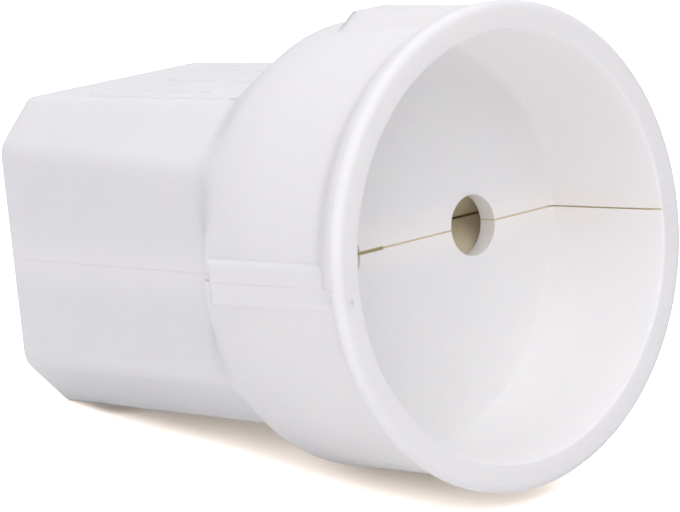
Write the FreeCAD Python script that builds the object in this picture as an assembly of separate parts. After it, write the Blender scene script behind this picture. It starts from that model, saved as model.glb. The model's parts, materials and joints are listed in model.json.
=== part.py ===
import FreeCAD, Part
import math
import os

# Inline socket connector: a white moulded cord-end socket for two round pins, without earth.
# Two half shells part on the plane through both pin holes and hold the brass contacts,
# their terminals and the cord clamp between them. All sizes are in millimetres.
#
# Own axes: x = 0 is the plane of the mouth, the x axis is the socket's axis and points out of
# the mouth, z = 0 is the parting plane. The last step lays the socket down as it rests.

# Round front: recess, wall and rim
PIN_SPACING = 19.0
PIN_HOLE_RADIUS = 3.1
RECESS_RADIUS = 20.9
RECESS_DEPTH = 15.1
MOUTH_ROUND = 0.25
LEAD_IN_LENGTH = 3.0
LEAD_IN_HEIGHT = 0.2
FLOOR_ROUND = 0.6
FLOOR_THICKNESS = 2.0
CUP_WALL_FRONT = 1.5
CUP_WALL_REAR = 1.15
LOWER_WALL_EXTRA = 0.35
RIM_HEIGHT = 1.6
RIM_ROUND = 0.9
UPPER_FLARE_LENGTH = 4.3
LOWER_FLARE_LENGTH = 1.7
BARREL_REAR_X = -20.5
CONE_SLOPE = 0.55
RIM_PIT_Y = -22.5
RIM_PIT_Z = -1.4
RIM_PIT_RADIUS = 0.35
RIM_PIT_DEPTH = 0.3

# Flat-sided body behind the round front
BODY_REAR_X = -56.2
BODY_REAR_HALF_WIDTH = 16.4
UPPER_REAR_HEIGHT = 15.95
UPPER_FRONT_HEIGHT = 15.85
UPPER_FLAT_HALF_WIDTH = 11.85
UPPER_REAR_CORNER_Z = 11.45
UPPER_FRONT_CORNER_Z = 10.6
LOWER_REAR_HEIGHT = 15.8
LOWER_FRONT_HEIGHT = 16.8
LOWER_FLAT_HALF_WIDTH = 11.4
LOWER_REAR_CORNER_Z = 10.75
LOWER_FRONT_CORNER_Z = 10.6
FLAT_CORNER_ROUND = 1.2
SIDE_CORNER_ROUND = 2.6
SIDE_STEP = 2.65
SIDE_STEP_LENGTH = 2.9
REAR_CHAMFER = 0.3
WALL = 2.0

# Ribs on the barrel, label pad and its bars, parting groove
RIB_HALF_WIDTH = 2.15
RIB_LOWER_WIDTH = 2.4
RIB_REAR_X = -19.5
RIB_FRONT_X = -1.6
RIB_HEIGHT = 0.75
RIB_ROUND = 0.7
TOP_RIB_REAR_X = -16.9
TOP_RIB_HEIGHT = 1.35
TOP_RIB_SKIRT = 2.6
PAD_REAR_X = -48.3
PAD_HALF_WIDTH = 10.9
PAD_HEIGHT = 0.15
PAD_CORNER = 1.5
PAD_BAR_WIDTH = 2.6
PAD_BAR_HEIGHT = 0.12
PAD_BAR_PITCH = 6.6
PAD_BAR_GAP = 2.0
OUTER_SEAM_HALF_GAP = 0.03
OUTER_SEAM_DEPTH = 0.04
CUP_SEAM_HALF_GAP = 0.05
CUP_SEAM_DEPTH = 0.08
FLOOR_SLOT_END_Y = -3.2
FLOOR_SLOT_HALF_GAP = 0.13
FLOOR_SLOT_DEPTH = 0.15

# Cord entry and cord clamp
CORD_RADIUS = 4.0
CORD_COLLAR_RADIUS = 6.0
CORD_COLLAR_LENGTH = 4.0
CLAMP_X = -44.2
CLAMP_HALF_SPACING = 8.4
CLAMP_POST_RADIUS = 2.8
CLAMP_POST_TOP = -0.5
CLAMP_BAR_LENGTH = 22.0
CLAMP_BAR_WIDTH = 4.0
CLAMP_BAR_THICK = 2.4
CLAMP_HEAD_RADIUS = 2.4
CLAMP_HEAD_HEIGHT = 1.8
CLAMP_SCREW_LENGTH = 10.0
CLAMP_BORE_SPARE = 1.7

# Screws that hold the shells together
FRONT_SCREW_X = -26.0
REAR_SCREW_X = -50.8
REAR_SCREW_Y = 8.6
SCREW_SEAT_Z = -8.0
SCREW_HEAD_RADIUS = 2.6
SCREW_HEAD_HEIGHT = 2.0
SCREW_CORE_RADIUS = 1.35
SCREW_REACH_Z = 9.0
COUNTERBORE_RADIUS = 2.9
LOWER_BOSS_RADIUS = 3.9
UPPER_BOSS_RADIUS = 3.2

# Contacts and terminals
SHEET = 0.8
CLIP_WAIST_X = -20.9
CLIP_LIP_X = -18.0
CLIP_HALF_HEIGHT = 4.0
CLIP_SLIT_HALF = 0.12
CLIP_INNER_REACH = 4.5
CLIP_LIP_REACH = 7.5
CLIP_TAIL_REACH = 5.1
BLOCK_FRONT_X = -35.0
BLOCK_REAR_X = -40.0
BLOCK_HALF_WIDTH = 3.5
WIRE_RADIUS = 1.6
TERMINAL_SCREW_X = -37.5
TERMINAL_SCREW_RADIUS = 1.25
TERMINAL_HEAD_RADIUS = 2.2
TERMINAL_HEAD_HEIGHT = 1.8
PEG_RADIUS = 1.0

V = FreeCAD.Vector
X_AXIS = V(1, 0, 0)
Z_AXIS = V(0, 0, 1)
PIN_Y = PIN_SPACING / 2.0
FLOOR_X = -RECESS_DEPTH
FLOOR_BACK_X = FLOOR_X - FLOOR_THICKNESS
BARREL_FRONT_RADIUS = RECESS_RADIUS + CUP_WALL_FRONT
BARREL_REAR_RADIUS = RECESS_RADIUS + CUP_WALL_REAR
RIM_RADIUS = BARREL_FRONT_RADIUS + RIM_HEIGHT
BODY_FRONT_HALF_WIDTH = BARREL_REAR_RADIUS - SIDE_STEP
TOP_SLOPE = (UPPER_FRONT_HEIGHT - UPPER_REAR_HEIGHT) / (BARREL_REAR_X - BODY_REAR_X)
FAR = RIM_RADIUS - 2.0 * BODY_REAR_X


def box(x0, x1, y0, y1, z0, z1):
    return Part.makeBox(x1 - x0, y1 - y0, z1 - z0, V(x0, y0, z0))


def post(x, y, radius, z0, z1):
    return Part.makeCylinder(radius, z1 - z0, V(x, y, z0), Z_AXIS)


def polygon_prism(points, direction):
    wire = Part.makePolygon(points + [points[0]])
    return Part.Face(wire).extrude(direction)


def line(a, b):
    return Part.LineSegment(V(a[0], a[1], 0), V(b[0], b[1], 0)).toShape()


def arc(a, m, b):
    return Part.Arc(V(a[0], a[1], 0), V(m[0], m[1], 0), V(b[0], b[1], 0)).toShape()


def corner_arc(start, centre, end):
    # A rounded corner from start to end about centre, by way of the middle of the arc
    radius = math.hypot(start[0] - centre[0], start[1] - centre[1])
    across = V(start[0] + end[0] - 2 * centre[0], start[1] + end[1] - 2 * centre[1], 0)
    across.normalize()
    middle = (centre[0] + radius * across.x, centre[1] + radius * across.y)
    return arc(start, middle, end)


def revolve_profile(edges):
    face = Part.Face(Part.Wire(edges))
    return face.revolve(V(0, 0, 0), X_AXIS, 360)


def along_body(x, rear, front):
    # A size of the body that runs evenly from its rear end to the rear end of the barrel
    run = (x - BODY_REAR_X) / (BARREL_REAR_X - BODY_REAR_X)
    return rear + run * (front - rear)


def side_half_width(x):
    return along_body(x, BODY_REAR_HALF_WIDTH, BODY_FRONT_HALF_WIDTH)


def cone_x(radius):
    # Where along the axis the cone behind the barrel has this radius
    return BARREL_REAR_X - (BARREL_REAR_RADIUS - radius) / CONE_SLOPE


def rounded_loop(x, points, rounds):
    # Closed outline in the plane across the axis at x, with each corner rounded by its own radius
    ends = []
    count = len(points)
    for index, (y, z) in enumerate(points):
        corner = V(x, y, z)
        before = V(x, *points[index - 1]) - corner
        after = V(x, *points[(index + 1) % count]) - corner
        before.normalize()
        after.normalize()
        half = 0.5 * before.getAngle(after)
        inward = before + after
        inward.normalize()
        reach = rounds[index] / math.tan(half)
        middle = corner + inward * (rounds[index] / math.sin(half) - rounds[index])
        ends.append((corner + before * reach, middle, corner + after * reach))
    edges = []
    for index, (start, middle, end) in enumerate(ends):
        edges.append(Part.Arc(start, middle, end).toShape())
        edges.append(Part.LineSegment(end, ends[(index + 1) % count][0]).toShape())
    return Part.Wire(edges)


def facet_corners(x, inset, flat_half_width, height, corner_z):
    # Where a slanting facet meets the side and the flat, with all three moved inwards by inset
    across = side_half_width(x) - flat_half_width
    down = height - corner_z
    facet = down * flat_half_width + across * height - inset * math.hypot(across, down)
    width = side_half_width(x) - inset
    flat = height - inset
    return (width, (facet - down * width) / across), ((facet - across * flat) / down, flat)


def body_section(x, inset):
    # Eight-sided outline with flat top, underside and sides and four slanting facets
    side, flat = facet_corners(
        x, inset, UPPER_FLAT_HALF_WIDTH, along_body(x, UPPER_REAR_HEIGHT, UPPER_FRONT_HEIGHT),
        along_body(x, UPPER_REAR_CORNER_Z, UPPER_FRONT_CORNER_Z),
    )
    low_side, low_flat = facet_corners(
        x, inset, LOWER_FLAT_HALF_WIDTH, along_body(x, LOWER_REAR_HEIGHT, LOWER_FRONT_HEIGHT),
        along_body(x, LOWER_REAR_CORNER_Z, LOWER_FRONT_CORNER_Z),
    )
    corners = [side, flat, (-flat[0], flat[1]), (-side[0], side[1]), (-low_side[0], -low_side[1]),
               (-low_flat[0], -low_flat[1]), (low_flat[0], -low_flat[1]), (low_side[0], -low_side[1])]
    side_round = max(SIDE_CORNER_ROUND - inset, REAR_CHAMFER)
    flat_round = max(FLAT_CORNER_ROUND - inset, REAR_CHAMFER)
    return rounded_loop(x, corners, [side_round, flat_round, flat_round, side_round] * 2)


def body_block():
    # The rear edge has a small chamfer
    sections = [
        body_section(BODY_REAR_X, REAR_CHAMFER),
        body_section(BODY_REAR_X + REAR_CHAMFER, 0.0),
        body_section(BARREL_REAR_X + 1.3, 0.0),
    ]
    return Part.makeLoft(sections, True, True)


def side_cutters(inset, end_x):
    # What lies outside the body's flat sides behind end_x
    rear = BODY_REAR_X - WALL
    cutters = []
    for sign in (1, -1):
        points = [
            V(rear, sign * (side_half_width(rear) - inset), -FAR),
            V(end_x, sign * (side_half_width(end_x) - inset), -FAR),
            V(end_x, sign * FAR, -FAR),
            V(rear, sign * FAR, -FAR),
        ]
        cutters.append(polygon_prism(points, V(0, 0, 2.0 * FAR)))
    return cutters


def side_steps(radius):
    # The flat-sided outline swells into the round barrel over a short length
    foot_x = BARREL_REAR_X - SIDE_STEP_LENGTH
    outline = body_section(foot_x, 0.0)
    corners = [vertex.Point for vertex in outline.OrderedVertexes]
    turns = [math.atan2(point.z, point.y) for point in corners]
    arcs = []
    for index, turn in enumerate(turns):
        step = (turns[(index + 1) % len(turns)] - turn) % (2.0 * math.pi)
        ends = [turn, turn + 0.5 * step, turn + step]
        points = [V(BARREL_REAR_X, radius * math.cos(angle), radius * math.sin(angle)) for angle in ends]
        arcs.append(Part.Arc(*points).toShape())
    return Part.makeLoft([outline, Part.Wire(arcs)], True, True)


def round_front(flare_length, extra):
    # Cone, barrel, flare and rim in one turned form; extra thickens the barrel
    start_radius = 0.75 * UPPER_REAR_HEIGHT
    barrel_radius = BARREL_REAR_RADIUS + extra
    cone_start = (BARREL_REAR_X - (barrel_radius - start_radius) / CONE_SLOPE, start_radius)
    barrel_start = (BARREL_REAR_X, barrel_radius)
    crest = (-RIM_ROUND, RIM_RADIUS)
    flare_start = (crest[0] - flare_length, BARREL_FRONT_RADIUS + extra)
    flare_middle = (0.5 * (flare_start[0] + crest[0]), 0.5 * (flare_start[1] + crest[1]))
    rise = RIM_HEIGHT - extra
    bend = (flare_length ** 2 + rise ** 2) / (4.0 * rise)
    front = RIM_RADIUS - RIM_ROUND
    edges = [
        line((cone_start[0], 0), cone_start),
        line(cone_start, barrel_start),
        line(barrel_start, flare_start),
        corner_arc(flare_start, (flare_start[0], flare_start[1] + bend), flare_middle),
        corner_arc(flare_middle, (crest[0], crest[1] - bend), crest),
        corner_arc(crest, (-RIM_ROUND, front), (0, front)),
        line((0, front), (0, 0)),
        line((0, 0), (cone_start[0], 0)),
    ]
    form = revolve_profile(edges)
    for cutter in side_cutters(0.0, BARREL_REAR_X):
        form = form.cut(cutter)
    return form.fuse(side_steps(barrel_radius))


def side_rib(sign):
    # A rib along the parting line, a little wider below it, with rounded long edges and rear end
    top = BARREL_FRONT_RADIUS - 0.5 * (CUP_WALL_FRONT - CUP_WALL_REAR) + RIB_HEIGHT
    base = RECESS_RADIUS + 0.5 * CUP_WALL_REAR
    low = min(sign * base, sign * top)
    rib = box(RIB_REAR_X, RIB_FRONT_X, low, low + top - base, -RIB_LOWER_WIDTH, RIB_HALF_WIDTH)
    edges = []
    for edge in rib.Edges:
        mid = edge.CenterOfMass
        if abs(mid.y - sign * top) < 1e-6 and mid.x < RIB_FRONT_X - 1e-6:
            edges.append(edge)
    return rib.makeFillet(RIB_ROUND, edges)


def top_rib():
    # A rib along the top of the barrel, with sides that slope down into it
    top = BARREL_REAR_RADIUS + TOP_RIB_HEIGHT
    wide = RIB_HALF_WIDTH + TOP_RIB_SKIRT
    foot = math.sqrt(BARREL_REAR_RADIUS ** 2 - wide ** 2)
    base = RECESS_RADIUS + 0.5 * CUP_WALL_REAR
    low = min(foot, base) - 0.5 * CUP_WALL_REAR
    corners = [(-wide, low), (wide, low), (wide, foot),
               (RIB_HALF_WIDTH, top), (-RIB_HALF_WIDTH, top), (-wide, foot)]
    points = [V(TOP_RIB_REAR_X, y, z) for y, z in corners]
    return polygon_prism(points, V(RIB_FRONT_X - TOP_RIB_REAR_X, 0, 0))


def onto_top_flat(shape):
    # Takes a shape drawn on the plane z = 0 and lays it on the gently sloping top flat
    shape.translate(V(0, 0, UPPER_REAR_HEIGHT))
    hinge = V(BODY_REAR_X, 0, UPPER_REAR_HEIGHT)
    shape.rotate(hinge, V(0, -1, 0), math.degrees(math.atan(TOP_SLOPE)))
    return shape


def label_pad():
    # Low raised pad on the top flat that runs into the cone, and three low bars on it
    half = PAD_BAR_WIDTH / 2.0
    pad = box(PAD_REAR_X, BARREL_REAR_X, -PAD_HALF_WIDTH, PAD_HALF_WIDTH, -0.5 * WALL, PAD_HEIGHT)
    corners = []
    for edge in pad.Edges:
        mid = edge.CenterOfMass
        if abs(mid.x - PAD_REAR_X) < 1e-6 and abs(abs(mid.y) - PAD_HALF_WIDTH) < 1e-6:
            corners.append(edge)
    forms = [onto_top_flat(pad.makeFillet(PAD_CORNER, corners))]
    for step in (-1, 0, 1):
        y = step * PAD_BAR_PITCH
        nearest = max(abs(y) - half, 0.0)
        front_x = cone_x(math.hypot(UPPER_REAR_HEIGHT, nearest)) - PAD_BAR_GAP
        top = PAD_HEIGHT + PAD_BAR_HEIGHT
        bar = box(PAD_REAR_X + PAD_BAR_GAP, front_x, y - half, y + half, -0.5 * WALL, top)
        forms.append(onto_top_flat(bar))
    return forms


def recess_tool():
    mouth = RECESS_RADIUS + LEAD_IN_HEIGHT
    foot = RECESS_RADIUS - FLOOR_ROUND
    foot_x = FLOOR_X + FLOOR_ROUND
    lead_end = (-MOUTH_ROUND, mouth)
    lead_start = (-LEAD_IN_LENGTH, RECESS_RADIUS)
    run = lead_end[0] - lead_start[0]
    bend = (run ** 2 + LEAD_IN_HEIGHT ** 2) / (2.0 * LEAD_IN_HEIGHT)
    edges = [
        line((WALL, 0), (WALL, mouth + MOUTH_ROUND)),
        line((WALL, mouth + MOUTH_ROUND), (0, mouth + MOUTH_ROUND)),
        corner_arc((0, mouth + MOUTH_ROUND), (-MOUTH_ROUND, mouth + MOUTH_ROUND), lead_end),
        corner_arc(lead_end, (lead_start[0], RECESS_RADIUS + bend), lead_start),
        line(lead_start, (foot_x, RECESS_RADIUS)),
        corner_arc((foot_x, RECESS_RADIUS), (foot_x, foot), (FLOOR_X, foot)),
        line((FLOOR_X, foot), (FLOOR_X, 0)),
        line((FLOOR_X, 0), (WALL, 0)),
    ]
    return revolve_profile(edges)


def rounded_hole(face_x, inner_x, y, radius, ease):
    # Hole along x with a rounded entry at face_x, running to inner_x
    way = 1.0 if inner_x > face_x else -1.0
    outside_x = face_x - way
    edges = [
        line((outside_x, 0), (outside_x, radius + ease)),
        line((outside_x, radius + ease), (face_x, radius + ease)),
        corner_arc(
            (face_x, radius + ease), (face_x + way * ease, radius + ease), (face_x + way * ease, radius)
        ),
        line((face_x + way * ease, radius), (inner_x, radius)),
        line((inner_x, radius), (inner_x, 0)),
        line((inner_x, 0), (outside_x, 0)),
    ]
    hole = revolve_profile(edges)
    hole.translate(V(0, y, 0))
    return hole


def outer_form(flare_length, extra):
    form = body_block().fuse(round_front(flare_length, extra))
    form = form.fuse(label_pad())
    return form.fuse([top_rib(), side_rib(1), side_rib(-1)]).removeSplitter()


def cavity():
    # The hollow behind the cup's floor, one wall thickness inside the outside
    sections = [body_section(BODY_REAR_X + WALL, WALL), body_section(FLOOR_BACK_X, WALL)]
    body = Part.makeLoft(sections, True, True)
    radial = WALL * math.hypot(1.0, CONE_SLOPE)
    wide = BARREL_REAR_RADIUS - radial
    start = 0.75 * UPPER_REAR_HEIGHT
    start_x = BARREL_REAR_X - (wide - start) / CONE_SLOPE
    edges = [
        line((start_x, 0), (start_x, start)),
        line((start_x, start), (BARREL_REAR_X, wide)),
        line((BARREL_REAR_X, wide), (FLOOR_BACK_X, wide)),
        line((FLOOR_BACK_X, wide), (FLOOR_BACK_X, 0)),
        line((FLOOR_BACK_X, 0), (start_x, 0)),
    ]
    front = revolve_profile(edges)
    for cutter in side_cutters(WALL, BARREL_REAR_X + WALL):
        front = front.cut(cutter)
    return body.fuse(front).removeSplitter()


def screw_places():
    return {
        "housing_screw_front": (FRONT_SCREW_X, 0.0),
        "housing_screw_rear_left": (REAR_SCREW_X, REAR_SCREW_Y),
        "housing_screw_rear_right": (REAR_SCREW_X, -REAR_SCREW_Y),
    }


def cord_collar():
    x1 = BODY_REAR_X + CORD_COLLAR_LENGTH
    return Part.makeCylinder(CORD_COLLAR_RADIUS, CORD_COLLAR_LENGTH - 0.5, V(x1, 0, 0), V(-1, 0, 0))


def lower_features():
    features = [cord_collar()]
    for x, y in screw_places().values():
        features.append(post(x, y, LOWER_BOSS_RADIUS, -FAR, 0.5))
    ridge = 0.3 * CLAMP_BAR_WIDTH
    ridge_top = -1.5 * CORD_RADIUS
    features.append(
        box(CLAMP_X - ridge, CLAMP_X + ridge, -CLAMP_HALF_SPACING, CLAMP_HALF_SPACING, -FAR, ridge_top)
    )
    stop_x = BLOCK_REAR_X - SHEET
    for sign in (1, -1):
        features.append(post(CLAMP_X, sign * CLAMP_HALF_SPACING, CLAMP_POST_RADIUS, -FAR, CLAMP_POST_TOP))
        y0 = sign * PIN_Y - BLOCK_HALF_WIDTH
        y1 = sign * PIN_Y + BLOCK_HALF_WIDTH
        features.append(box(stop_x - 1.4, stop_x, y0, y1, -FAR, -2.0))
        features.append(box(stop_x - 1.4, BLOCK_FRONT_X - 0.5, y0, y1, -FAR, -CLIP_HALF_HEIGHT))
        peg_top = -CLIP_HALF_HEIGHT + SHEET - 0.1
        features.append(post(TERMINAL_SCREW_X, sign * PIN_Y, PEG_RADIUS, -FAR, peg_top))
    return features


def upper_features():
    features = [cord_collar()]
    for x, y in screw_places().values():
        features.append(post(x, y, UPPER_BOSS_RADIUS, -0.5, FAR))
    for sign in (1, -1):
        y0 = min(sign * (PIN_Y + 2.9), sign * (PIN_Y + 4.9))
        features.append(box(BLOCK_REAR_X + 0.5, BLOCK_FRONT_X - 0.5, y0, y0 + 2.0, CLIP_HALF_HEIGHT, FAR))
    return features


def outer_seam(form):
    # A fine rebate along the parting line all round the outside
    outline = []
    for edge in Part.sortEdges(form.slice(Z_AXIS, 0.0)[0].Edges)[0]:
        if edge.Curve.TypeId == "Part::GeomBSplineCurve":
            edge = Part.LineSegment(edge.Vertexes[0].Point, edge.Vertexes[-1].Point).toShape()
        outline.append(edge)
    face = Part.Face(Part.Wire(Part.sortEdges(outline)[0]))
    core = face.makeOffset2D(-OUTER_SEAM_DEPTH).extrude(V(0, 0, 2.0 * WALL))
    core.translate(V(0, 0, -WALL))
    return box(-FAR, FAR, -FAR, FAR, -OUTER_SEAM_HALF_GAP, OUTER_SEAM_HALF_GAP).cut(core)


def cup_seam():
    # The parting line in the recess, and a wider slot in the floor beside one pin hole
    half = RECESS_RADIUS + LEAD_IN_HEIGHT + CUP_SEAM_DEPTH
    groove = box(FLOOR_X - CUP_SEAM_DEPTH, WALL, -half, half, -CUP_SEAM_HALF_GAP, CUP_SEAM_HALF_GAP)
    slot = box(FLOOR_X - FLOOR_SLOT_DEPTH, FLOOR_X + WALL, -PIN_Y, FLOOR_SLOT_END_Y,
               -FLOOR_SLOT_HALF_GAP, FLOOR_SLOT_HALF_GAP)
    return [groove, slot]


def rim_pit():
    # Small pit in the face of the rim beside the parting line, on one side only
    bottom = V(-RIM_PIT_DEPTH, RIM_PIT_Y, RIM_PIT_Z)
    return Part.makeCylinder(RIM_PIT_RADIUS, 2.0 * RIM_PIT_DEPTH, bottom, X_AXIS)


def shells():
    holes = [rounded_hole(BODY_REAR_X, BODY_REAR_X + CORD_COLLAR_LENGTH + 0.6, 0.0, CORD_RADIUS, 0.5)]
    for sign in (1, -1):
        start = V(FLOOR_X + WALL, sign * PIN_Y, 0)
        holes.append(Part.makeCylinder(PIN_HOLE_RADIUS, FLOOR_THICKNESS + 1.5 * WALL, start, V(-1, 0, 0)))
    hollow = cavity()
    halves = {}
    for name, z0, z1, flare_length, extra, features in (
        ("upper_shell", 0.0, FAR, UPPER_FLARE_LENGTH, 0.0, upper_features()),
        ("lower_shell", -FAR, 0.0, LOWER_FLARE_LENGTH, LOWER_WALL_EXTRA, lower_features()),
    ):
        form = outer_form(flare_length, extra)
        half = form.cut(recess_tool()).common(box(-FAR, FAR, -FAR, FAR, z0, z1))
        half = half.cut(hollow.cut(features))
        cuts = holes + cup_seam() + [outer_seam(form)]
        for x, y in screw_places().values():
            if name == "upper_shell":
                cuts.append(post(x, y, SCREW_CORE_RADIUS, -1.0, SCREW_REACH_Z + 0.8))
            else:
                cuts.append(post(x, y, SCREW_CORE_RADIUS + 0.3, SCREW_SEAT_Z - 1.0, 1.0))
                cuts.append(post(x, y, COUNTERBORE_RADIUS, -FAR, SCREW_SEAT_Z))
        if name == "lower_shell":
            cuts.append(rim_pit())
            bore_end = CLAMP_POST_TOP + CLAMP_BAR_THICK - CLAMP_SCREW_LENGTH - CLAMP_BORE_SPARE
            for sign in (1, -1):
                y = sign * CLAMP_HALF_SPACING
                cuts.append(post(CLAMP_X, y, TERMINAL_SCREW_RADIUS, bore_end, 1.0))
        half = half.cut(cuts)
        halves[name] = half.removeSplitter().Solids[0]
    return halves


def slotted_screw(head_radius, head_height, core_radius, length):
    # Head from z = 0 to head_height, shank down to -length
    head = Part.makeCylinder(head_radius, head_height, V(0, 0, 0), Z_AXIS)
    rim = [edge for edge in head.Edges if abs(edge.CenterOfMass.z - head_height) < 1e-6]
    head = head.makeFillet(0.18 * head_height, rim)
    slot_half = 0.14 * head_radius
    slot = box(-FAR, FAR, -slot_half, slot_half, 0.5 * head_height, FAR)
    tip_length = 0.4 * core_radius
    shank = Part.makeCylinder(core_radius, length - tip_length, V(0, 0, 0), V(0, 0, -1))
    tip_start = V(0, 0, tip_length - length)
    tip = Part.makeCone(core_radius, 0.6 * core_radius, tip_length, tip_start, V(0, 0, -1))
    return head.cut(slot).fuse([shank, tip]).removeSplitter().Solids[0]


def housing_screws():
    screws = {}
    for name, (x, y) in screw_places().items():
        length = SCREW_REACH_Z - SCREW_SEAT_Z
        screw = slotted_screw(SCREW_HEAD_RADIUS, SCREW_HEAD_HEIGHT, SCREW_CORE_RADIUS, length)
        screw.rotate(V(0, 0, 0), X_AXIS, 180)
        screw.translate(V(x, y, SCREW_SEAT_Z))
        screws[name] = screw
    return screws


def contact_clip(sign):
    # One bent brass sheet: rear web, two leaves that close on the pin and flared lips in front
    top = CLIP_HALF_HEIGHT
    inside = CLIP_HALF_HEIGHT - SHEET
    waist = CLIP_SLIT_HALF
    rear = BLOCK_REAR_X - SHEET
    upper_out = [
        (rear, top),
        (BLOCK_FRONT_X + 0.1, top),
        (CLIP_WAIST_X - 1.15, waist + SHEET),
        (CLIP_WAIST_X - 0.35, waist + SHEET),
        (CLIP_LIP_X - 0.57, inside + 0.55),
        (CLIP_LIP_X, inside),
    ]
    upper_in = [
        (CLIP_WAIST_X, waist),
        (CLIP_WAIST_X - 1.3, waist),
        (BLOCK_FRONT_X, inside),
        (BLOCK_REAR_X, inside),
    ]
    upper = upper_out + upper_in
    outline = upper + [(x, -z) for x, z in reversed(upper)]
    points = [V(x, 0, z) for x, z in outline]
    bent = polygon_prism(points, V(0, sign * FAR, 0))
    inner = sign * (PIN_Y - CLIP_INNER_REACH)
    lip = sign * (PIN_Y + CLIP_LIP_REACH)
    tail = sign * (PIN_Y + CLIP_TAIL_REACH)
    plan = [
        V(rear - SHEET, inner, -FAR),
        V(0, inner, -FAR),
        V(0, lip, -FAR),
        V(CLIP_WAIST_X - 3.0, lip, -FAR),
        V(CLIP_WAIST_X - 7.0, tail, -FAR),
        V(rear - SHEET, tail, -FAR),
    ]
    clip = bent.common(polygon_prism(plan, V(0, 0, 2.0 * FAR)))
    y = sign * PIN_Y
    wire_way = Part.makeCylinder(WIRE_RADIUS, 4.0, V(rear - 2.0, y, 0), X_AXIS)
    screw_way = post(TERMINAL_SCREW_X, y, TERMINAL_SCREW_RADIUS + 0.25, 1.0, 8.0)
    peg_way = post(TERMINAL_SCREW_X, y, PEG_RADIUS + 0.1, -8.0, -1.0)
    return clip.cut([wire_way, screw_way, peg_way]).Solids[0]


def terminal_block(sign):
    y = sign * PIN_Y
    half = CLIP_HALF_HEIGHT - SHEET
    block = box(BLOCK_REAR_X, BLOCK_FRONT_X, y - BLOCK_HALF_WIDTH, y + BLOCK_HALF_WIDTH, -half, half)
    edges = []
    for edge in block.Edges:
        mid = edge.CenterOfMass
        if abs(mid.x - (BLOCK_REAR_X + BLOCK_FRONT_X) / 2.0) < 1e-6:
            edges.append(edge)
    block = block.makeChamfer(0.3, edges)
    wire_way = Part.makeCylinder(WIRE_RADIUS, 9.0, V(BLOCK_REAR_X - 2.0, y, 0), X_AXIS)
    screw_way = post(TERMINAL_SCREW_X, y, TERMINAL_SCREW_RADIUS, 0.0, 8.0)
    return block.cut([wire_way, screw_way]).Solids[0]


def terminal_screw(sign):
    length = CLIP_HALF_HEIGHT + 0.6
    screw = slotted_screw(TERMINAL_HEAD_RADIUS, TERMINAL_HEAD_HEIGHT, TERMINAL_SCREW_RADIUS, length)
    screw.rotate(V(0, 0, 0), Z_AXIS, 35 * sign)
    screw.translate(V(TERMINAL_SCREW_X, sign * PIN_Y, CLIP_HALF_HEIGHT))
    return screw


def clamp_bar():
    z0 = CLAMP_POST_TOP
    half = CLAMP_BAR_LENGTH / 2.0
    wide = CLAMP_BAR_WIDTH / 2.0
    bar = box(CLAMP_X - wide, CLAMP_X + wide, -half, half, z0, z0 + CLAMP_BAR_THICK)
    edges = [edge for edge in bar.Edges if abs(abs(edge.CenterOfMass.y) - half) < 1e-6
             and abs(edge.CenterOfMass.z - z0 - CLAMP_BAR_THICK / 2.0) < 1e-6]
    bar = bar.makeFillet(1.2, edges)
    ways = []
    for sign in (1, -1):
        ways.append(post(CLAMP_X, sign * CLAMP_HALF_SPACING, TERMINAL_SCREW_RADIUS + 0.25, -FAR, FAR))
    return bar.cut(ways).Solids[0]


def clamp_screw(sign):
    screw = slotted_screw(CLAMP_HEAD_RADIUS, CLAMP_HEAD_HEIGHT, TERMINAL_SCREW_RADIUS, CLAMP_SCREW_LENGTH)
    screw.rotate(V(0, 0, 0), Z_AXIS, 20 + 50 * sign)
    screw.translate(V(CLAMP_X, sign * CLAMP_HALF_SPACING, CLAMP_POST_TOP + CLAMP_BAR_THICK))
    return screw


def rest_angle():
    # It lies on the rear edge of its underside and on whichever round part stands out furthest
    rear_x = BODY_REAR_X + REAR_CHAMFER
    rear_z = along_body(rear_x, LOWER_REAR_HEIGHT, LOWER_FRONT_HEIGHT)
    barrel = (BARREL_REAR_RADIUS + LOWER_WALL_EXTRA - rear_z) / (BARREL_REAR_X - rear_x)
    rim = (RIM_RADIUS - rear_z) / (-RIM_ROUND - rear_x)
    return math.degrees(math.atan(max(barrel, rim)))


def lay_down(pieces):
    # Tip the mouth up by the resting angle, then put the middle of the box's foot on the origin
    for shape in pieces.values():
        shape.rotate(V(0, 0, 0), V(0, 1, 0), -rest_angle())
    whole = Part.Compound([pieces["upper_shell"], pieces["lower_shell"]]).optimalBoundingBox(False, False)
    shift = V(-(whole.XMin + whole.XMax) / 2.0, -(whole.YMin + whole.YMax) / 2.0, -whole.ZMin)
    for shape in pieces.values():
        shape.translate(shift)
    return shift


def build():
    pieces = shells()
    pieces.update(housing_screws())
    for side, sign in (("left", 1), ("right", -1)):
        pieces["contact_clip_" + side] = contact_clip(sign)
        pieces["terminal_block_" + side] = terminal_block(sign)
        pieces["terminal_screw_" + side] = terminal_screw(sign)
        pieces["cord_clamp_screw_" + side] = clamp_screw(sign)
    pieces["cord_clamp_bar"] = clamp_bar()
    return pieces


os.makedirs("parts", exist_ok=True)
pieces = build()
shift = lay_down(pieces)
for name, shape in pieces.items():
    shape.exportStep("parts/%s.step" % name)
    print(name, shape.ShapeType, shape.isValid(), round(shape.Volume, 1), len(shape.Faces))
print("rest angle", round(rest_angle(), 4), "shift", [round(value, 4) for value in shift])
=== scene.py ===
# Inline socket connector lying on a pale floor, seen towards its mouth
import json
import math

import bpy
from mathutils import Matrix, Vector

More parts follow.
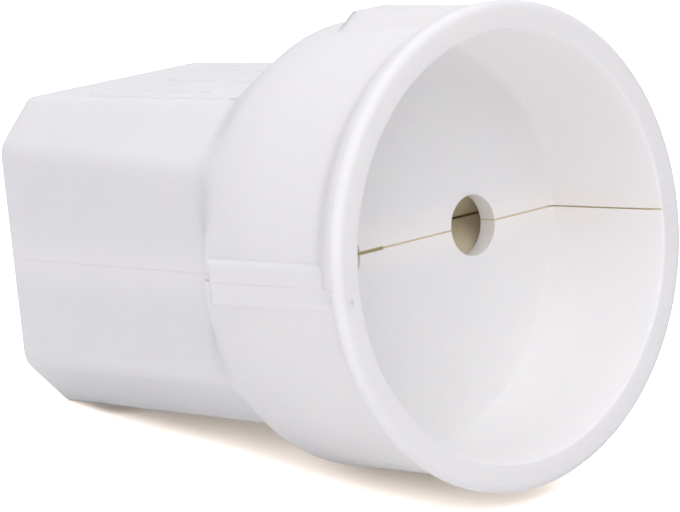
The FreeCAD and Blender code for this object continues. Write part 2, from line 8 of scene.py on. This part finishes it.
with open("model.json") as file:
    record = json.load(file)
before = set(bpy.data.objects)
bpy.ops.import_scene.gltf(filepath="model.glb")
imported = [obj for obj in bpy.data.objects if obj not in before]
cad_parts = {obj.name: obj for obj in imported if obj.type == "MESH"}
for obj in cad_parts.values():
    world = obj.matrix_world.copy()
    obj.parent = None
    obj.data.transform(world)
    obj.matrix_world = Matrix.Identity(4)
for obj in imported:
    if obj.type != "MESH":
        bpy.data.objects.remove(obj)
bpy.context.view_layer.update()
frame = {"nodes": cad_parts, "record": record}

# The socket's own axes in the row frame: x out of the mouth, z across the parting plane
MM = 0.001
RECESS_MIDDLE_X = -8.75
mounts = {mount["name"]: mount for mount in frame["record"]["mounts"]}
OWN_X = Vector(mounts["plug_recess"]["axis"]).normalized()
OWN_Y = Vector((0, 1, 0))
OWN_Z = OWN_X.cross(OWN_Y)
MOUTH = Vector(mounts["plug_recess"]["pos_m"]) - OWN_X * RECESS_MIDDLE_X * MM

# Camera, fitted to the photograph in the socket's own axes: angles in degrees, lengths in millimetres
CAMERA_YAW = 46.77
CAMERA_PITCH = 8.42
CAMERA_ROLL = -6.19
CAMERA_DISTANCE = 554.81
CAMERA_TARGET = (-24.81, 0.0, -1.73)
CAMERA_FOCUS_PX = 5534.65
IMAGE_WIDTH_PX = 680
SENSOR_MM = 36.0
CLIP_START_M = 0.01
CLIP_END_M = 10

# Slightly blue daylight, aimed at the middle of the socket
LIGHT_COLOUR = (0.93, 0.922, 0.99)
LIT_POINT = Vector((0.0, 0.0, 0.02))
WORLD_LIGHT = 0.24

# Each softbox: its place and width in metres, and its power in watts
SOFTBOXES = {
    "front_softbox": ((0.5, -0.26, 0.8), 0.75, 4.5),
    "side_softbox": ((-0.05, -0.85, 0.45), 0.7, 1.8),
    "far_softbox": ((-0.15, 0.3, 0.85), 0.6, 2.8),
    "low_softbox": ((0.62, -0.62, 0.17), 0.3, 0.7),
}

# Floor: what lights the socket, and what the camera sees: white in the open, and a painted shadow, darkened
# by occlusion and lifted by a faint warm glow, where the socket stands close
FLOOR_REACH_M = 3.0
FLOOR_COLOUR = (0.985, 0.98, 0.975, 1)
FLOOR_ROUGHNESS = 0.9
FLOOR_OPEN_COLOUR = (4.2, 4.0, 3.75, 1)
FLOOR_PAINTED_SHADOW_COLOUR = (1.7, 1.52, 1.3, 1)
FLOOR_PAINTED_SHADOW_MM = 8.0
FLOOR_OPEN_SPAN = (0.0, 0.7)
FLOOR_SHADOW_GLOW_COLOUR = (1.0, 0.93, 0.86, 1)
FLOOR_SHADOW_GLOW = 0.08
WHITE = (1, 1, 1, 1)

# Spans of noise over which a finish changes
NOISE_SPAN = (0.3, 0.7)
CLOUD_SPAN = (0.35, 0.65)
TARNISH_SPAN = (0.4, 0.7)

# Colours of the finishes, and of the painted light and painted shade in the cup
PLASTIC_TONES = ((0.89, 0.878, 0.862, 1), (0.90, 0.889, 0.874, 1))
# Painted light: the inside of the cup is painted lighter and warmer than the outside, for the light that
# gathers in the cup
CUP_PAINTED_LIGHT_TONE = (0.975, 0.953, 0.916, 1)
# Painted shade: the seam inside the cup is painted tan and darker, for the shade in the parting gap
SEAM_PAINTED_SHADE_TONE = (0.80, 0.72, 0.52, 1)
# Painted shade: the wide slot at the end of the seam in the cup's floor is painted darker
SLOT_PAINTED_SHADE_TONE = (0.55, 0.46, 0.25, 1)
GREY_TONES = ((0.42, 0.42, 0.43, 1), (0.49, 0.49, 0.50, 1))
BRASS_TONES = ((0.98, 0.88, 0.65, 1), (0.95, 0.84, 0.60, 1))
STEEL_TONES = ((0.60, 0.61, 0.62, 1), (0.70, 0.69, 0.66, 1))

# Zones of the white plastic, in millimetres in the socket's own axes, each with the span of its fade
CUP_BACK_X = (-18.0, -17.5)
CUP_RADIUS = (21.15, 21.25)
SEAM_WIDTH = (0.05, 0.14)
SLOT_WIDTH = (0.14, 0.22)
SLOT_END_Y = (-3.3, -3.1)
SLOT_FRONT_X = (-14.5, -14.3)

# Where the body runs into the barrel its edges shade softly, as a rounded edge does, but not near the seam
SOFT_RADIUS = 3.0
SOFT_BACK_X = (-27.0, -24.0)
SOFT_FRONT_X = (-17.5, -15.5)
SOFT_FROM_SEAM = (4.0, 6.0)
SOFT_FROM_AXIS = (14.0, 15.0)
SOFT_SAMPLES = 8

# Light scatters in the white plastic, and less near the seam
SCATTER_WEIGHT = 0.8
SCATTER_FROM_SEAM = (0.5, 3.5)
SCATTER_DEPTH_M = 0.002
SCATTER_RADIUS = (1.0, 0.85, 0.7)


def own_direction(v):
    return OWN_X * v[0] + OWN_Y * v[1] + OWN_Z * v[2]


def own_point(x, y, z):
    return MOUTH + own_direction((x * MM, y * MM, z * MM))


def add_camera():
    yaw = math.radians(CAMERA_YAW)
    pitch = math.radians(CAMERA_PITCH)
    roll = math.radians(CAMERA_ROLL)
    back = Vector((math.sin(yaw) * math.cos(pitch), -math.cos(yaw) * math.cos(pitch), math.sin(pitch)))
    level_right = Vector((math.cos(yaw), math.sin(yaw), 0))
    level_up = back.cross(level_right)
    right = level_right * math.cos(roll) + level_up * math.sin(roll)
    up = level_up * math.cos(roll) - level_right * math.sin(roll)
    columns = [own_direction(v) for v in (right, up, back)]
    turn = Matrix(columns).transposed().to_4x4()
    place = own_point(*(Vector(CAMERA_TARGET) + back * CAMERA_DISTANCE))
    data = bpy.data.cameras.new("camera")
    data.sensor_fit = "HORIZONTAL"
    data.sensor_width = SENSOR_MM
    data.lens = CAMERA_FOCUS_PX / IMAGE_WIDTH_PX * SENSOR_MM
    data.clip_start = CLIP_START_M
    data.clip_end = CLIP_END_M
    camera = bpy.data.objects.new("camera", data)
    bpy.context.scene.collection.objects.link(camera)
    camera.matrix_world = Matrix.Translation(place) @ turn
    bpy.context.scene.camera = camera


class Graph:
    """The nodes of a material or world; most methods add a node and give back its result."""

    def __init__(self, owner, shader):
        owner.use_nodes = True
        self.owner = owner
        self.tree = owner.node_tree
        self.shader = self.tree.nodes[shader]

    def add(self, kind, inputs=None, **settings):
        node = self.tree.nodes.new(kind)
        for key, value in settings.items():
            setattr(node, key, value)
        for key, value in (inputs or {}).items():
            self.put(node, key, value)
        return node

    def put(self, node, key, value):
        if isinstance(value, bpy.types.NodeSocket):
            self.tree.links.new(value, node.inputs[key])
        else:
            node.inputs[key].default_value = value

    def shade(self, **inputs):
        for key, value in inputs.items():
            self.put(self.shader, key.replace("_", " "), value)

    def math(self, operation, first, second=0.0):
        return self.add("ShaderNodeMath", {0: first, 1: second}, operation=operation).outputs[0]

    def product(self, first, *others):
        for other in others:
            first = self.math("MULTIPLY", first, other)
        return first

    def fade(self, value, span, start=0.0, end=1.0):
        """Goes smoothly from start to end while value goes through the span."""
        inputs = {"Value": value, "From Min": span[0], "From Max": span[1], "To Min": start, "To Max": end}
        node = self.add("ShaderNodeMapRange", inputs, interpolation_type="SMOOTHSTEP")
        return node.outputs["Result"]

    def fade_out(self, value, span):
        return self.fade(value, span, 1.0, 0.0)

    def blend(self, share, first, second):
        node = self.add("ShaderNodeMix", data_type="RGBA")
        self.put(node, "Factor", share)
        self.put(node, 6, first)
        self.put(node, 7, second)
        return node.outputs[2]

    def place(self):
        return self.add("ShaderNodeTexCoord").outputs["Object"]

    def noise(self, vector, size_mm, detail=2.0, roughness=0.5):
        inputs = {"Vector": vector, "Scale": 1 / (size_mm * MM), "Detail": detail, "Roughness": roughness}
        return self.add("ShaderNodeTexNoise", inputs).outputs["Fac"]

    def bump(self, height, depth_mm, strength, normal=None):
        node = self.add("ShaderNodeBump", {"Strength": strength, "Distance": depth_mm * MM, "Height": height})
        if normal is not None:
            self.put(node, "Normal", normal)
        return node.outputs["Normal"]

    def length(self, first, second):
        """Length of the diagonal over two distances."""
        squares = [self.product(side, side) for side in (first, second)]
        return self.math("SQRT", self.math("ADD", *squares))

    def own(self, axis):
        """Distance in millimetres along one of the socket's own axes, from the middle of the mouth."""
        away = self.add("ShaderNodeVectorMath", {0: self.place(), 1: MOUTH}, operation="SUBTRACT")
        along = self.add("ShaderNodeVectorMath", {0: away.outputs[0], 1: axis}, operation="DOT_PRODUCT")
        return self.math("DIVIDE", along.outputs["Value"], MM)

    def ray_share(self, *kinds):
        """1 where a ray is of one of the kinds, and 0 elsewhere."""
        path = self.add("ShaderNodeLightPath")
        share = path.outputs[kinds[0]]
        for kind in kinds[1:]:
            share = self.math("MAXIMUM", share, path.outputs[kind])
        return share

    def mix(self, share, first, second):
        return self.add("ShaderNodeMixShader", {0: share, 1: first, 2: second}).outputs[0]


def material_graph(name):
    return Graph(bpy.data.materials.new(name), "Principled BSDF")


def white_plastic():
    g = material_graph("white_plastic")
    place = g.place()
    cloud = g.noise(place, size_mm=14.0, detail=3.0)
    grain = g.noise(place, size_mm=0.35, detail=3.0, roughness=0.6)
    own_x = g.own(OWN_X)
    own_y = g.own(OWN_Y)
    own_z = g.own(OWN_Z)
    from_seam = g.math("ABSOLUTE", own_z)
    from_axis = g.length(own_y, own_z)
    in_cup = g.product(g.fade(own_x, CUP_BACK_X), g.fade_out(from_axis, CUP_RADIUS))
    # Painted shade along the seam inside the cup
    seam = g.product(g.fade_out(from_seam, SEAM_WIDTH), in_cup)
    # Painted shade in the wide slot at the seam's end
    slot = g.product(g.fade_out(from_seam, SLOT_WIDTH), g.fade_out(own_y, SLOT_END_Y), in_cup,
                     g.fade_out(own_x, SLOT_FRONT_X))
    tone = g.blend(g.fade(cloud, CLOUD_SPAN), *PLASTIC_TONES)
    # The inside of the cup is painted lighter as painted light, and the seam and slot in it darker as painted
    # shade
    for zone, zone_tone in ((in_cup, CUP_PAINTED_LIGHT_TONE), (seam, SEAM_PAINTED_SHADE_TONE), (slot, SLOT_PAINTED_SHADE_TONE)):
        tone = g.blend(zone, tone, zone_tone)
    soft_zone = g.product(g.fade(own_x, SOFT_BACK_X), g.fade_out(own_x, SOFT_FRONT_X),
                          g.fade(from_seam, SOFT_FROM_SEAM), g.fade(from_axis, SOFT_FROM_AXIS))
    soft = g.add("ShaderNodeBevel", {"Radius": g.product(soft_zone, SOFT_RADIUS * MM)}, samples=SOFT_SAMPLES)
    g.shade(Base_Color=tone, Roughness=g.fade(grain, NOISE_SPAN, 0.5, 0.6), IOR=1.5,
            Subsurface_Weight=g.fade(from_seam, SCATTER_FROM_SEAM, 0.0, SCATTER_WEIGHT),
            Subsurface_Scale=SCATTER_DEPTH_M, Subsurface_Radius=SCATTER_RADIUS,
            Normal=g.bump(grain, depth_mm=0.01, strength=0.3, normal=soft.outputs[0]))
    return g.owner


def grey_plastic():
    g = material_graph("grey_plastic")
    grain = g.noise(g.place(), size_mm=0.3, detail=3.0, roughness=0.6)
    g.shade(Base_Color=g.blend(grain, *GREY_TONES), Roughness=g.fade(grain, NOISE_SPAN, 0.5, 0.62),
            Normal=g.bump(grain, depth_mm=0.02, strength=0.4))
    return g.owner


def brass():
    g = material_graph("brass")
    place = g.place()
    tarnish = g.noise(place, size_mm=2.5, detail=4.0, roughness=0.6)
    stretch = g.add("ShaderNodeMapping", {"Vector": place, "Scale": (0.06, 1.0, 1.0)})
    rolled = g.noise(stretch.outputs[0], size_mm=0.12)
    g.shade(Base_Color=g.blend(g.fade(tarnish, TARNISH_SPAN), *BRASS_TONES), Metallic=0.1,
            Roughness=g.fade(rolled, NOISE_SPAN, 0.45, 0.55),
            Normal=g.bump(rolled, depth_mm=0.01, strength=0.3))
    return g.owner


def steel():
    g = material_graph("steel")
    place = g.place()
    cloud = g.noise(place, size_mm=1.2, detail=3.0)
    scratch = g.noise(place, size_mm=0.1, detail=3.0, roughness=0.7)
    g.shade(Base_Color=g.blend(cloud, *STEEL_TONES), Metallic=1.0,
            Roughness=g.fade(scratch, NOISE_SPAN, 0.28, 0.42),
            Normal=g.bump(scratch, depth_mm=0.008, strength=0.25))
    return g.owner


def dress_nodes():
    finishes = {
        "white_plastic": white_plastic(),
        "grey_plastic": grey_plastic(),
        "brass": brass(),
        "steel": steel(),
    }
    for part in frame["record"]["subparts"]:
        mesh = frame["nodes"][part["node"]].data
        mesh.materials.clear()
        mesh.materials.append(finishes[part["material_slot"]])


def floor_material():
    g = material_graph("floor")
    g.shade(Base_Color=FLOOR_COLOUR, Roughness=FLOOR_ROUGHNESS, Specular_IOR_Level=0.0)
    # Painted shadow: the floor the camera sees is darkened by occlusion close to the socket, and a faint warm
    # glow is added to it
    occlusion = g.add("ShaderNodeAmbientOcclusion", {"Distance": FLOOR_PAINTED_SHADOW_MM * MM})
    openness = g.fade(occlusion.outputs["AO"], FLOOR_OPEN_SPAN)
    seen_colour = g.blend(openness, FLOOR_PAINTED_SHADOW_COLOUR, FLOOR_OPEN_COLOUR)
    bright = g.add("ShaderNodeBsdfDiffuse", {"Color": seen_colour})
    glow = g.add("ShaderNodeEmission", {"Color": FLOOR_SHADOW_GLOW_COLOUR, "Strength": FLOOR_SHADOW_GLOW})
    seen = g.add("ShaderNodeAddShader", {0: bright.outputs[0], 1: glow.outputs[0]})
    white = g.add("ShaderNodeEmission", {"Color": WHITE, "Strength": 1.0})
    mirrored = g.ray_share("Is Glossy Ray", "Is Transmission Ray")
    surface = g.mix(mirrored, g.shader.outputs[0], white.outputs[0])
    surface = g.mix(g.ray_share("Is Camera Ray"), surface, seen.outputs[0])
    g.put(g.tree.nodes["Material Output"], "Surface", surface)
    return g.owner


def add_floor():
    reach = FLOOR_REACH_M
    corners = [(-reach, -reach, 0), (reach, -reach, 0), (reach, reach, 0), (-reach, reach, 0)]
    mesh = bpy.data.meshes.new("floor")
    mesh.from_pydata(corners, [], [(0, 1, 2, 3)])
    mesh.materials.append(floor_material())
    floor = bpy.data.objects.new("floor", mesh)
    bpy.context.scene.collection.objects.link(floor)


def add_world():
    g = Graph(bpy.data.worlds.new("studio"), "Background")
    g.shade(Color=(*LIGHT_COLOUR, 1), Strength=WORLD_LIGHT)
    white = g.add("ShaderNodeBackground", {"Color": WHITE, "Strength": 1.0})
    seen = g.ray_share("Is Camera Ray", "Is Glossy Ray", "Is Transmission Ray")
    surface = g.mix(seen, g.shader.outputs[0], white.outputs[0])
    g.put(g.tree.nodes["World Output"], "Surface", surface)
    bpy.context.scene.world = g.owner


def add_softbox(name, place, size, power):
    data = bpy.data.lights.new(name, "AREA")
    data.shape = "SQUARE"
    data.size = size
    data.energy = power
    data.color = LIGHT_COLOUR
    lamp = bpy.data.objects.new(name, data)
    bpy.context.scene.collection.objects.link(lamp)
    lamp.location = place
    lamp.rotation_euler = (LIT_POINT - Vector(place)).to_track_quat("-Z", "Y").to_euler()


add_camera()
add_floor()
add_world()
for softbox, (place, size, power) in SOFTBOXES.items():
    add_softbox(softbox, place, size, power)
dress_nodes()

bpy.context.scene.view_settings.view_transform = "Standard"
